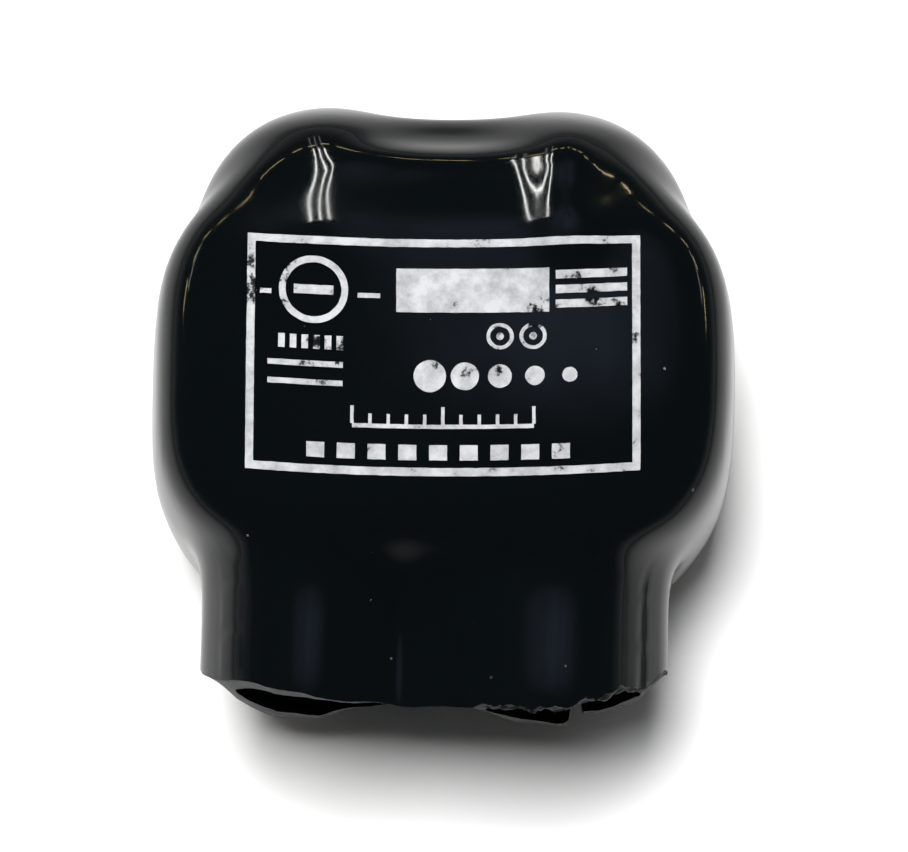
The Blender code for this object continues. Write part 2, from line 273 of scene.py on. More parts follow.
def startMaterial(name):
    material = bpy.data.materials.new(name)
    material.use_nodes = True
    tree = material.node_tree
    surface = tree.nodes["Principled BSDF"]
    place = node(tree, "ShaderNodeTexCoord").outputs["Object"]
    return material, tree, surface, place


def placeGroup(tree, group, links):
    return node(tree, "ShaderNodeGroup", links, node_tree=group)


def addBump(tree, surface, height, depth, strength):
    bump = node(tree, "ShaderNodeBump", {"Height": height, "Distance": depth, "Strength": strength})
    tree.links.new(bump.outputs["Normal"], surface.inputs["Normal"])


vinylLook = {"colour": (0.0018, 0.0028, 0.0033, 1), "roughness": 0.06, "smudge": 0.05, "scratch": 0.05,
             "ior": 1.5, "rippleScale": 260, "rippleDepth": 0.010 * mm,
             "dustColour": (0.30, 0.29, 0.26, 1), "dustScale": 780, "dustAmount": 0.45, "dustStrength": 0.45,
             "patchScale": 110, "patchFrom": (0.40, 0.56)}


def makeVinyl():
    s = vinylLook
    material, tree, surface, place = startMaterial("dippedVinyl")
    scuffs = placeGroup(tree, handlingScuffs, {
        "Vector": place, "Base Roughness": s["roughness"], "Smudge": s["smudge"], "Scratch": s["scratch"]})
    dust = placeGroup(tree, dustSpecks, {"Vector": place, "Scale": s["dustScale"], "Amount": s["dustAmount"]})
    patch = remap(tree, cloudy(tree, place, s["patchScale"], 2), s["patchFrom"])  # dust settles in patches
    settled = maths(tree, "MULTIPLY", dust.outputs["Mask"], patch)
    thin = maths(tree, "MULTIPLY", settled, s["dustStrength"])
    tree.links.new(blend(tree, thin, s["colour"], s["dustColour"]), surface.inputs["Base Color"])
    tree.links.new(maths(tree, "ADD", scuffs.outputs["Roughness"], thin), surface.inputs["Roughness"])
    addBump(tree, surface, cloudy(tree, place, s["rippleScale"], 2), s["rippleDepth"], 1.0)
    surface.inputs["IOR"].default_value = s["ior"]
    return material


cutLook = {"dark": (0.0012, 0.0016, 0.0018, 1), "pale": (0.006, 0.0065, 0.007, 1), "roughness": (0.25, 0.55),
           "dragStretch": (1, 1, 9), "dragTurn": (0, 0.5, 0), "grainScale": 500, "grainDepth": 0.02 * mm,
           "specular": 0.06}


def makeCutVinyl():
    s = cutLook
    material, tree, surface, place = startMaterial("cutVinyl")
    drag = node(tree, "ShaderNodeMapping", {
        "Vector": place, "Scale": s["dragStretch"], "Rotation": s["dragTurn"]})
    grain = cloudy(tree, drag.outputs["Vector"], s["grainScale"], 5, roughness=0.65)
    tree.links.new(blend(tree, grain, s["dark"], s["pale"]), surface.inputs["Base Color"])
    tree.links.new(remap(tree, grain, target=s["roughness"]), surface.inputs["Roughness"])
    addBump(tree, surface, grain, s["grainDepth"], 0.6)
    surface.inputs["Specular IOR Level"].default_value = s["specular"]
    return material


inkLook = {"colour": (0.66, 0.67, 0.68, 1), "shade": (0.40, 0.41, 0.43, 1), "roughness": 0.42,
           "metallic": 0.25, "blotScale": 900, "blotFrom": (0.35, 0.62), "blotDepth": 0.01 * mm,
           "patchScale": 150, "wornFrom": (0.79, 0.86)}


def makeInk():
    s = inkLook
    material, tree, surface, place = startMaterial("silverInk")
    blot = cloudy(tree, place, s["blotScale"], 4, roughness=0.7)
    patch = cloudy(tree, place, s["patchScale"], 3)
    silver = blend(tree, remap(tree, blot, s["blotFrom"]), s["shade"], s["colour"])
    lost = remap(tree, maths(tree, "ADD", blot, patch), s["wornFrom"], (1, 0))  # where the ink is worn off
    tree.links.new(blend(tree, lost, silver, vinylLook["colour"]), surface.inputs["Base Color"])
    tree.links.new(remap(tree, lost, target=(s["metallic"], 0)), surface.inputs["Metallic"])
    surface.inputs["Roughness"].default_value = s["roughness"]
    addBump(tree, surface, blot, s["blotDepth"], 0.6)
    return material


metalLook = {
    "sawnAluminium": {"colour": (0.80, 0.81, 0.82, 1), "tarnish": (0.52, 0.53, 0.54, 1),
                      "roughness": 0.30, "stretch": (1, 16, 1), "depth": 0.02 * mm},
    "platedSteel": {"colour": (0.60, 0.58, 0.52, 1), "tarnish": (0.36, 0.34, 0.30, 1),
                    "roughness": 0.26, "stretch": (1, 1, 14), "depth": 0.015 * mm},
}
stainLook = {"scale": 240, "from": (0.42, 0.68)}


def makeMetal(name):
    s = metalLook[name]
    material, tree, surface, place = startMaterial(name)
    marks = placeGroup(tree, toolMarks, {
        "Vector": place, "Stretch": s["stretch"], "Base Roughness": s["roughness"]})
    stain = remap(tree, cloudy(tree, place, stainLook["scale"], 5, roughness=0.6), stainLook["from"])
    tree.links.new(blend(tree, stain, s["colour"], s["tarnish"]), surface.inputs["Base Color"])
    tree.links.new(marks.outputs["Roughness"], surface.inputs["Roughness"])
    addBump(tree, surface, marks.outputs["Height"], s["depth"], 0.7)
    surface.inputs["Metallic"].default_value = 1
    return material


rubberLook = {"colour": (0.011, 0.011, 0.012, 1), "roughness": 0.42, "smudge": 0.12, "scratch": 0.16,
              "dustScale": 800, "dustAmount": 0.16, "dustStrength": 0.35,
              "grainScale": 2600, "grainDepth": 0.02 * mm}


def makePlugRubber():
    s = rubberLook
    material, tree, surface, place = startMaterial("mouldedRubber")
    scuffs = placeGroup(tree, handlingScuffs, {
        "Vector": place, "Base Roughness": s["roughness"], "Smudge": s["smudge"], "Scratch": s["scratch"]})
    dust = placeGroup(tree, dustSpecks, {"Vector": place, "Scale": s["dustScale"], "Amount": s["dustAmount"]})
    faint = maths(tree, "MULTIPLY", dust.outputs["Mask"], s["dustStrength"])
    tree.links.new(blend(tree, faint, s["colour"], vinylLook["dustColour"]), surface.inputs["Base Color"])
    tree.links.new(scuffs.outputs["Roughness"], surface.inputs["Roughness"])
    addBump(tree, surface, cloudy(tree, place, s["grainScale"], 2), s["grainDepth"], 0.6)
    return material


dippedVinyl = makeVinyl()
cutVinyl = makeCutVinyl()
silverInk = makeInk()
sawnAluminium = makeMetal("sawnAluminium")
platedSteel = makeMetal("platedSteel")
mouldedRubber = makePlugRubber()
say("finishes made")


# Dipped jacket

jacketShape = {
    "coat": 2.9 * mm, "bulge": 0.2 * mm, "crown": 2.1 * mm, "waist": 0.10,
    "frontCorner": 6.4 * mm, "backCorner": 8.0 * mm, "shoulder": 5.2 * mm,
    "frontRun": 0.6 * mm, "frontDroop": 1.5 * mm, "droopLength": 11.6 * mm, "crossLines": 8,
    "sleeveRun": 0.25 * mm, "sleeveSpare": 1.5 * mm, "grooveDepth": 1.7 * mm, "grooveShift": 1.9 * mm,
    "grooveHead": ((2.6 * mm, 0.6 * mm), (1.2 * mm, 1.4 * mm)),  # ahead of the body, higher than the groove
    "tipNose": 7.2 * mm, "tipRun": 0.25 * mm, "tipSpread": 1.1 * mm, "tipOverlap": 1.1 * mm,
    "tipFullness": 1.38, "tipLength": 6.6 * mm,
    "saddleLength": 1.0 * mm, "saddleRise": 0.3 * mm, "valleyDepth": 0.9 * mm, "valleyInset": 1.0 * mm,
    "lean": 0.25 * mm, "leftBulge": 0.25 * mm, "rightBulge": 0.2 * mm,
    "collarRadius": 6.1 * mm, "collarHeight": 6 * mm,
    "voxel": 0.33 * mm, "flow": 154,
}
# What is taken out of it
hollowShape = {
    "gap": 0.3 * mm, "corner": 3.1 * mm, "rim": 1.0 * mm, "accessGap": 0.33 * mm, "endWall": 2.6 * mm,
    "wireStart": 6 * mm, "collarTrim": (20 * mm, 11 * mm, 4 * mm),
}
# Each point of the edge: share of the way out from the middle, how far back the cut lies there in
# millimetres, and its share of the overhang
mouthCut = {
    "length": 10.8 * mm, "overhang": 0.8, "halfSize": (17 * mm, 9.6 * mm), "reach": 8 * mm,
    "edge": ((-1.04, 2.6, 1.5), (-1.02, 1.9, 1.4), (-0.96, 1.6, 1.2), (-0.88, 1.2, 0.6), (-0.70, 0.4, 0.4),
             (-0.52, 0.1, 0.8), (-0.27, 0.5, 1.4), (0.0, 0.5, 1.8), (0.36, 0.0, 0.9), (0.55, 0.0, 0.9),
             (0.60, 0.5, 0.9), (0.70, 0.6, 0.8), (0.79, 1.0, 0.7), (0.87, 1.1, 0.8), (0.97, 2.4, 0.6)),
    "torn": (0.12, 0.2), "notch": (7.2 * mm, 7.75 * mm, 1.0 * mm),
}
backReach = blockHigh.y + jacketShape["tipLength"]


def bodyForm():
    s = jacketShape
    coat = s["coat"]
    low = blockLow - Vector((coat, coat + s["frontRun"], coat + s["bulge"]))
    high = blockHigh + Vector((coat, coat, coat + s["bulge"]))
    middle, half = (low + high) / 2, (high - low) / 2
    bm = boxForm(low, high)
    roundOff(bm, [e for e in uprightEdges(bm) if e.verts[0].co.y < middle.y], s["frontCorner"], 10)
    roundOff(bm, [e for e in uprightEdges(bm) if e.verts[0].co.y > high.y - 0.1 * mm], s["backCorner"], 10)
    bmesh.ops.subdivide_edges(bm, edges=uprightEdges(bm), cuts=12)
    roundOff(bm, rimEdges(bm), s["shoulder"], 8)
    for axis in range(2):  # cross lines, so that the flat faces can crown
        normal = Vector((1 - axis, axis, 0))
        for step in range(1 - s["crossLines"], s["crossLines"]):
            bmesh.ops.bisect_plane(bm, geom=bm.verts[:] + bm.edges[:] + bm.faces[:], dist=1e-7,
                                   plane_co=middle + normal * half[axis] * step / s["crossLines"],
                                   plane_no=normal)
    for v in bm.verts:
        across, along, up = ((v.co[i] - middle[i]) / half[i] for i in range(3))
        droop = max(0, (low.y + s["droopLength"] - v.co.y) / s["droopLength"]) ** 2
        v.co.x *= 1 - s["waist"] * (along * along + up * up) / 2
        v.co.x -= s["lean"] * droop
        v.co.z -= s["crown"] * across * across * up + s["frontDroop"] * droop * max(0, up)
    return bm


def barrelForm(lowX, highX, start, end, nose):
    rounded = min(nose, barrelRadius)
    profile = [(0, 0)]
    for step in range(1, 13):
        turn = math.pi / 2 * step / 12
        profile.append((barrelRadius - rounded * (1 - math.sin(turn)), nose * (1 - math.cos(turn))))
    length = abs(end - start)
    bm = turnedForm(profile + [(barrelRadius, length), (0, length)], 64)
    wider, taller = (highX - lowX) / 2 / barrelRadius, 1 + jacketShape["sleeveRun"] / barrelRadius
    bmesh.ops.scale(bm, vec=(wider, taller, 1), verts=bm.verts)
    if end < start:
        bmesh.ops.rotate(bm, cent=(0, 0, 0), matrix=Matrix.Rotation(math.pi, 3, "X"), verts=bm.verts)
    return layAlongWire(bm, (lowX + highX) / 2, start)


def tipForm(side):  # fuller above the wire, where the coat runs up over the block's back edge
    s = jacketShape
    outer = portX + barrelRadius + s["tipSpread"] + (s["leftBulge"] if side < 0 else 0)
    bm = barrelForm(min(-s["tipOverlap"] * side, outer * side), max(-s["tipOverlap"] * side, outer * side),
                    backReach + s["tipRun"], blockY, s["tipNose"])
    for v in bm.verts:
        if v.co.z > wireZ:
            v.co.z = wireZ + (v.co.z - wireZ) * s["tipFullness"]
    return bm


def webForm(halfWidth, start, end, halfHeight):
    return boxForm((-halfWidth, start, wireZ - halfHeight), (halfWidth, end, wireZ + halfHeight))


def collarForm(x):
    radius, height = jacketShape["collarRadius"], jacketShape["collarHeight"]
    return shifted(turnedForm([(0, -mm), (radius, -mm), (radius, height), (0, height)], 64),
                   (x, blockY, jacketLow.z))


def betweenPoints(points, place, column):  # straight from point to point along the mouth
    for before, after in zip(points, points[1:]):
        if place <= after[0]:
            share = max(0, (place - before[0]) / (after[0] - before[0]))
            return before[column] + (after[column] - before[column]) * share
    return points[-1][column]


def mouthForm():  # everything in front of the hand-trimmed mouth
    s = mouthCut
    mouthY = blockLow.y - s["length"]
    bm = bmesh.new()
    bmesh.ops.create_grid(bm, x_segments=220, y_segments=96, size=1)
    for v in bm.verts:
        x, rise = v.co.x * s["halfSize"][0], v.co.y * s["halfSize"][1]
        place = x / (portX + barrelRadius)
        back = betweenPoints(s["edge"], place, 1)
        back -= s["overhang"] * betweenPoints(s["edge"], place, 2) * rise / barrelRadius
        torn = smoothStep(*s["torn"], place) * smoothStep(-1.5 * mm, 1.5 * mm, rise)
        jag = noise.noise(Vector((x * 1500, rise * 1500, 3)))
        jag += 0.5 * noise.noise(Vector((x * 4200, rise * 3600, 8)))
        wave = 0.08 * math.sin(x * 720) + 0.06 * math.sin(x * 1900 + rise * 350) + jag * (0.03 + 0.25 * torn)
        if s["notch"][0] < x < s["notch"][1] and rise < 0:
            back += s["notch"][2] / mm
        v.co = (x, mouthY + (back + wave) * mm, wireZ + rise)
    sheet = bmesh.ops.extrude_face_region(bm, geom=bm.faces[:])
    for v in (item for item in sheet["geom"] if isinstance(item, bmesh.types.BMVert)):
        v.co.y = mouthY - s["reach"]
    bmesh.ops.recalc_face_normals(bm, faces=bm.faces)
    return bm


def wirewayForm(x):
    start = jacketLow.y - hollowShape["wireStart"]
    step, end = blockY - start, backReach - hollowShape["endWall"] - start
    profile = [(0, 0), (sleeveRadius, 0), (sleeveRadius, step), (boreRadius, step),
               (boreRadius, end - boreRadius / 2), (boreRadius * 0.7, end - boreRadius / 8), (0, end)]
    return layAlongWire(turnedForm(profile, 72), x, start)


def seatForm():  # hollow round the terminal block
    gap = Vector((1, 1, 1)) * hollowShape["gap"]
    bm = boxForm(blockLow - gap, blockHigh + gap)
    roundOff(bm, uprightEdges(bm), hollowShape["corner"], 6)
    roundOff(bm, rimEdges(bm), hollowShape["rim"], 3)
    return bm


def accessForm(x):
    radius = (screwHigh.x - screwLow.x) / 2 + hollowShape["accessGap"]
    low, high = jacketLow.z - 2 * mm, blockLow.z + mm
    return shifted(turnedForm([(0, low), (radius, low), (radius, high), (0, high)], 72), (x, blockY, 0))


def combine(piece, other, operation):
    step = piece.modifiers.new(other.name, "BOOLEAN")
    step.operation = operation
    step.solver = "EXACT"
    step.material_mode = "TRANSFER"
    step.object = other


def hollowPiece():  # all that is taken out of the skin, as one solid
    hollow = newPiece("hollow", seatForm(), dippedVinyl)
    halfX, halfY, depth = hollowShape["collarTrim"]
    trim = boxForm((-halfX, blockY - halfY, jacketLow.z - depth), (halfX, blockY + halfY, jacketLow.z))
    parts = [newPiece("wireways", joinForms([wirewayForm(x) for x in ports.values()]), dippedVinyl),
             newPiece("accessHoles", joinForms([accessForm(x) for x in ports.values()]), dippedVinyl),
             newPiece("mouthTrim", mouthForm(), cutVinyl),
             newPiece("collarTrim", trim, cutVinyl)]
    for part in parts:
        combine(hollow, part, "UNION")
    applyModifiers(hollow)
    for part in parts:
        bpy.data.objects.remove(part)
    return hollow


# Where the vinyl has run, in millimetres: a hump is its middle, its width and its height, and two numbers
# are where an effect begins and where it is full. Only sleeveSide lies in degrees out from straight up.
skinRun = {
    "wander": 0.07, "grain": 0.008, "upperSide": (18.5, 23.5), "aboveCollars": (0.5, 3),
    "backEdge": (11.2, 2.0, -0.50), "backFill": (15.0, 1.2, 0.30),
    "valley": (0.2, 3.2, 1.0), "valleyDrop": (13.0, 3.0, -0.32),
    "ridges": ((-6.4, 2.2, 0.16), (6.5, 2.1, 0.64)), "ridgeStart": (5.0, 9.5), "ridgeEnd": (13.0, 16.5),
    "groove": (-2.0, 0.75, -0.42), "grooveHead": (-10.5, -6.2), "grooveFlare": 1.5,
    "sleeveSide": (52, 20, -0.40), "sleeveStart": (-10.5, -6.5),
}


def hump(value, shape, flare=0):
    middle, width, height = shape
    return height * math.exp(-((value - middle) / (width + flare)) ** 2)


def sculptSkin(mesh):  # unevenness of a hand-dipped skin
    s = skinRun
    fadeLow, fadeHigh = (jacketLow.z + height * mm for height in s["aboveCollars"])
    for v in mesh.vertices:
        place = v.co / mm
        wander = noise.noise(v.co * 120 + Vector((7, 1, 4))) * s["wander"]
        wander += noise.noise(v.co * 330 + Vector((2, 9, 5))) * s["grain"]
        upward = smoothStep(*s["upperSide"], place.z)
        valley = hump(place.x, s["valley"])
        raised = hump(place.y, s["backEdge"]) + (1 - valley) * hump(place.y, s["backFill"])
        raised += valley * hump(place.y, s["valleyDrop"])
        ridged = smoothStep(*s["ridgeStart"], place.y) * (1 - smoothStep(*s["ridgeEnd"], place.y))
        raised += ridged * sum(hump(place.x, ridge) for ridge in s["ridges"])
        head = smoothStep(*s["grooveHead"], place.y)
        raised += (1 - head) * hump(place.x, s["groove"], s["grooveFlare"] * head)
        if abs(place.x) > portX / mm and v.co.z > wireZ:
            turn = math.degrees(math.atan2(abs(place.x) - portX / mm, place.z - wireZ / mm))
            wander += (1 - smoothStep(*s["sleeveStart"], place.y)) * hump(turn, s["sleeveSide"])
        free = smoothStep(fadeLow, fadeHigh, v.co.z)
        v.co += (v.normal * wander + Vector((0, 0, raised * upward))) * mm * free


def makeJacket():
    s = jacketShape
    front = jacketLow.y - s["sleeveSpare"]
    edge = portX + barrelRadius
    seam = -s["grooveShift"] - s["lean"]
    back = blockHigh.y + s["coat"]
    bodyFront = blockLow.y - s["coat"] - s["frontRun"]
    grooveHeight = barrelRadius - s["grooveDepth"]
    forms = [bodyForm(),
             barrelForm(-edge - s["leftBulge"] - s["lean"], seam, front, blockY, mm),
             barrelForm(seam, edge - s["lean"] + s["rightBulge"], front, blockY, mm),
             webForm(portX, front, blockY, grooveHeight),
             *[webForm(portX, bodyFront - ahead, blockY, grooveHeight + more)
               for ahead, more in s["grooveHead"]],
             webForm(portX, blockY, back + s["saddleLength"], barrelRadius + s["saddleRise"]),
             webForm(portX, blockY, backReach - s["valleyInset"], barrelRadius - s["valleyDepth"])]
    for side, x in ((-1, ports["left"]), (1, ports["right"])):
        forms += [tipForm(side), collarForm(x)]
    jacket = newPiece("dipped_jacket", joinForms(forms), dippedVinyl, cutVinyl)
    remesh = jacket.modifiers.new("dip", "REMESH")
    remesh.mode = "VOXEL"
    remesh.voxel_size = s["voxel"]
    flow = jacket.modifiers.new("flow", "SMOOTH")
    flow.factor = 0.5
    flow.iterations = s["flow"]
    applyModifiers(jacket)
    say("jacket skin has %d points" % len(jacket.data.vertices))
    sculptSkin(jacket.data)
    hollow = hollowPiece()
    combine(jacket, hollow, "DIFFERENCE")
    applyModifiers(jacket)
    bpy.data.objects.remove(hollow)
    shadeRound(jacket, 40)
    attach(jacket, "housing")
    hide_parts("insulating_jacket")
    return jacket


jacket = makeJacket()
say("jacket has %d faces" % len(jacket.data.polygons))


# Silver print on the face: plain shapes only

labelPrint = {
    "centre": (-0.05 * mm, 1.81 * mm), "size": (20.9 * mm, 12.75 * mm), "turn": 0.7,
    "line": 0.43 * mm, "bow": 0.62 * mm, "lift": 0.012 * mm, "thickness": 0.03 * mm, "step": 0.35 * mm,
    "rough": 0.02 * mm, "roughScale": 2600,
}


def barShape(x0, y0, x1, y1):
    step = labelPrint["step"]
    bm = bmesh.new()
    bmesh.ops.create_grid(bm, x_segments=max(1, round((x1 - x0) * mm / step)),
                          y_segments=max(1, round((y1 - y0) * mm / step)), size=0.5)
    bmesh.ops.scale(bm, vec=((x1 - x0) * mm, (y1 - y0) * mm, 1), verts=bm.verts)
    return shifted(bm, ((x0 + x1) / 2 * mm, (y0 + y1) / 2 * mm, 0))


def discShape(x, y, radius):
    bm = bmesh.new()
    bmesh.ops.create_circle(bm, cap_ends=True, cap_tris=True, segments=40, radius=radius * mm)
    return shifted(bm, (x * mm, y * mm, 0))


def ringShape(x, y, radius, width):
    bm = bmesh.new()
    bmesh.ops.create_circle(bm, segments=56, radius=radius * mm)
    bmesh.ops.create_circle(bm, segments=56, radius=(radius - width) * mm)
    bmesh.ops.bridge_loops(bm, edges=bm.edges[:])
    return shifted(bm, (x * mm, y * mm, 0))


def labelShapes():  # millimetres from the label's centre
    halfX, halfY = (size / 2 / mm for size in labelPrint["size"])
    line = labelPrint["line"] / mm
    shapes = [barShape(-halfX, halfY - line, halfX, halfY),
              barShape(-halfX, -halfY, halfX, -halfY + line),
              barShape(-halfX, -halfY + line, -halfX + line, halfY - line),
              barShape(halfX - line, -halfY + line, halfX, halfY - line)]
    # slotted screw head
    shapes += [ringShape(-6.9, 3.45, 1.85, 0.36), barShape(-7.95, 3.2, -5.85, 3.7)]
    shapes += [barShape(-9.75, 3.1, -9.15, 3.36), barShape(-4.55, 3.1, -3.35, 3.36)]
    # stripped wire: thick jacket, then three strands
    shapes += [barShape(-2.5, 2.35, 5.6, 4.75)]
    shapes += [barShape(5.95, 2.55 + i * 0.8, 9.75, 3.0 + i * 0.8) for i in range(3)]
    # two ports
    for x in (3.0, 4.75):
        shapes += [ringShape(x, 1.05, 0.72, 0.2), discShape(x, 1.05, 0.2)]
    # range of wire, thick to thin
    shapes += [discShape(-0.7 + 1.85 * i, -1.1, 0.86 - 0.115 * i) for i in range(5)]
    # tally bars under the screw head
    shapes += [barShape(-8.75 + 0.62 * i, 0.2, -8.4 + 0.62 * i, 0.95) for i in range(6)]
    shapes += [barShape(-9.3, -1.75, -5.3, -1.45), barShape(-9.3, -0.75, -5.3, -0.45)]
    # strip length gauge
    shapes += [barShape(-4.8, -3.9, 4.8, -3.68)]
    shapes += [barShape(-4.8 + 0.96 * i - 0.09, -3.68, -4.8 + 0.96 * i + 0.09,
                        -2.75 if i % 5 == 0 else -3.15) for i in range(11)]
    # two rows of dashes
    shapes += [barShape(-7.2 + 1.62 * i, -5.55, -6.25 + 1.62 * i, -4.75) for i in range(9)]
    return shapes


def makePrint():
    s = labelPrint
    bm = joinForms(labelShapes())
    turn = Matrix.Rotation(math.radians(s["turn"]), 3, "Z")
    bmesh.ops.rotate(bm, cent=(0, 0, 0), matrix=turn, verts=bm.verts)
    shifted(bm, (*s["centre"], 0))
    skin = BVHTree.FromPolygons([v.co for v in jacket.data.vertices],
                                [p.vertices for p in jacket.data.polygons])
    for v in bm.verts:  # bowed by the printing pad, then laid on the jacket
        v.co.y -= s["bow"] * (1 - (2 * v.co.x / s["size"][0]) ** 2)
        v.co.x += noise.noise(Vector((v.co.x * s["roughScale"], v.co.y * s["roughScale"], 1))) * s["rough"]
        v.co.y += noise.noise(Vector((v.co.x * s["roughScale"], v.co.y * s["roughScale"], 6))) * s["rough"]
        hit = skin.ray_cast(Vector((v.co.x, v.co.y, 40 * mm)), Vector((0, 0, -1)))
        v.co.z = hit[0].z + s["lift"]
    for f in bm.faces:
        if f.normal.z < 0:
            f.normal_flip()
    inkPrint = newPiece("label_print", bm, silverInk)
    thick = inkPrint.modifiers.new("thickness", "SOLIDIFY")
    thick.thickness = s["thickness"]
    thick.offset = 1
    applyModifiers(inkPrint)
    inkPrint.data.shade_smooth()
    inkPrint.data.set_sharp_from_angle(angle=math.radians(40))
    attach(inkPrint, "housing")
    return inkPrint


makePrint()
say("label printed")


# Terminal block keeps its solid and gets its finish

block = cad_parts["terminal_block"]
block.data.materials.clear()
block.data.materials.append(sawnAluminium)
say("block finished")


# Threaded set screws

screwShape = {"pitch": 1.058 * mm, "threadDepth": 0.62 * mm, "point": 1.4 * mm, "pointLength": 1.1 * mm,
              "slotWidth": 1.3 * mm, "slotDepth": 1.9 * mm}


def makeScrew(side):
    s = screwShape
    low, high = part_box("set_screw_" + side)
    centre = Vector(((low.x + high.x) / 2, (low.y + high.y) / 2, low.z))
    radius, length = (high.x - low.x) / 2, high.z - low.z
    core, neck = radius - s["threadDepth"], length - s["pointLength"]
    point = radius - s["point"]
    profile = [(0, 0), (core - 0.1 * mm, 0), (core, 0.1 * mm), (core, neck - 0.5 * mm), (point, neck),
               (point, length - 0.25 * mm), (point - 0.08 * mm, length - 0.1 * mm),
               (point - 0.3 * mm, length), (0, length)]
    body = turnedForm(profile, 96)
    # one V-shaped ridge wound round the core
    turns = (neck - 2.0 * s["pitch"]) / s["pitch"]
    ridge = bmesh.new()
    half = s["pitch"] * 0.46
    corners = [(core - 0.05 * mm, -half), (radius, -0.07 * mm), (radius, 0.07 * mm),
               (core - 0.05 * mm, half)]
    verts = [ridge.verts.new((r, 0, s["pitch"] + h)) for r, h in corners]
    face = ridge.faces.new(verts)
    steps = int(turns * 48)
    bmesh.ops.spin(ridge, geom=[face] + face.edges[:] + face.verts[:], cent=(0, 0, 0), axis=(0, 0, 1),
                   dvec=(0, 0, turns * s["pitch"] / steps), angle=math.tau * turns, steps=steps,
                   use_merge=False)
    bmesh.ops.remove_doubles(ridge, verts=ridge.verts, dist=1e-8)
    bmesh.ops.recalc_face_normals(ridge, faces=ridge.faces)
    ridgePiece = newPiece("thread_" + side, ridge, platedSteel)
    screw = newPiece("slotted_screw_" + side, body, platedSteel)
    union = screw.modifiers.new("thread", "BOOLEAN")
    union.operation = "UNION"
    union.solver = "EXACT"
    union.object = ridgePiece
    bar = boxForm((-2 * radius, -s["slotWidth"] / 2, -mm), (2 * radius, s["slotWidth"] / 2, s["slotDepth"]))
    slot = newPiece("slot_" + side, bar, platedSteel)
    cut = screw.modifiers.new("slot", "BOOLEAN")
    cut.operation = "DIFFERENCE"
    cut.solver = "EXACT"
    cut.object = slot
    applyModifiers(screw)
    bpy.data.objects.remove(ridgePiece)
    bpy.data.objects.remove(slot)
    screw.data.transform(Matrix.Translation(centre))
    shadeRound(screw, 35)
    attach(screw, "screw_" + side)
    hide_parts("set_screw_" + side)


for side in ports:
    makeScrew(side)
say("screws threaded")


# Pull-out plugs

plugShape = {"flange": 1.6 * mm, "bead": 4.0 * mm, "stem": 3.7 * mm, "hollow": 2.5 * mm, "dish": 0.25 * mm,
             "dishRadius": 4.2 * mm, "notchRadius": 1.6 * mm, "notchDepth": 0.7 * mm}


def makePlug(side):
    s = plugShape
    low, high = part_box("access_plug_" + side)
    x, rim, top = (low.x + high.x) / 2, s["flange"], high.z - low.z
    flange = (high.x - low.x) / 2
    middle, edge = (rim + top) / 2, 0.4 * mm
    profile = [(0, s["dish"]), (s["dishRadius"] - 0.35 * mm, s["dish"]),
               (s["dishRadius"] - 0.1 * mm, s["dish"] * 0.6), (s["dishRadius"] + 0.1 * mm, 0),
               (flange - edge, 0)]
    profile += [(flange - edge + edge * math.sin(t), edge - edge * math.cos(t))
                for t in (0.4, 0.8, 1.2, 1.57)]
    profile += [(flange - edge + edge * math.cos(t), rim - edge + edge * math.sin(t))
                for t in (0.0, 0.4, 0.8, 1.2, 1.57)]
    profile += [(s["stem"] + 0.1 * mm, rim), (s["stem"], rim + 0.1 * mm)]
    profile += [(s["stem"] + (s["bead"] - s["stem"]) * math.sin(t), middle - 0.6 * mm * math.cos(t))
                for t in (0.0, 0.5, 1.0, 1.57, 2.1, 2.6, 3.14)]
    profile += [(s["stem"], top - 0.3 * mm), (s["stem"] - 0.3 * mm, top), (s["hollow"] + 0.15 * mm, top),
                (s["hollow"], top - 0.15 * mm), (s["hollow"] - 0.1 * mm, rim + 0.2 * mm),
                (s["hollow"] - 0.3 * mm, rim), (0, rim)]
    plug = newPiece("pull_plug_" + side, turnedForm(profile, 96), mouldedRubber)
    notchY = -flange - s["notchRadius"] + s["notchDepth"]
    pin = turnedForm([(0, -mm), (s["notchRadius"], -mm), (s["notchRadius"], rim + mm), (0, rim + mm)], 48)
    notch = newPiece("notch_" + side, shifted(pin, (0, notchY, 0)), mouldedRubber)
    cut = plug.modifiers.new("notch", "BOOLEAN")
    cut.operation = "DIFFERENCE"
    cut.solver = "EXACT"
    cut.object = notch
    applyModifiers(plug)
    bpy.data.objects.remove(notch)
    plug.data.transform(Matrix.Translation((x, blockY, low.z)))
    shadeRound(plug, 32)
    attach(plug, "plug_" + side)
    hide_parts("access_plug_" + side)


for side in ports:
    makePlug(side)
say("plugs made")


# Floor, light and camera

# The floor glows evenly except within about 19 mm of the object's middle, fading in by 30 mm: painted shade
# round the object, where its shadow falls
stageLook = {"colours": ((0.93, 0.93, 0.925, 1), (0.91, 0.915, 0.92, 1)), "grainScale": 60, "size": 3.0,
             "roughness": 0.6, "specular": 0.2, "lift": 0.09, "liftOutsidePaintedShade": (19 * mm, 30 * mm),
             "mirrorLoss": (0.38, 0.80), "mirrorReach": (25 * mm, 220 * mm)}


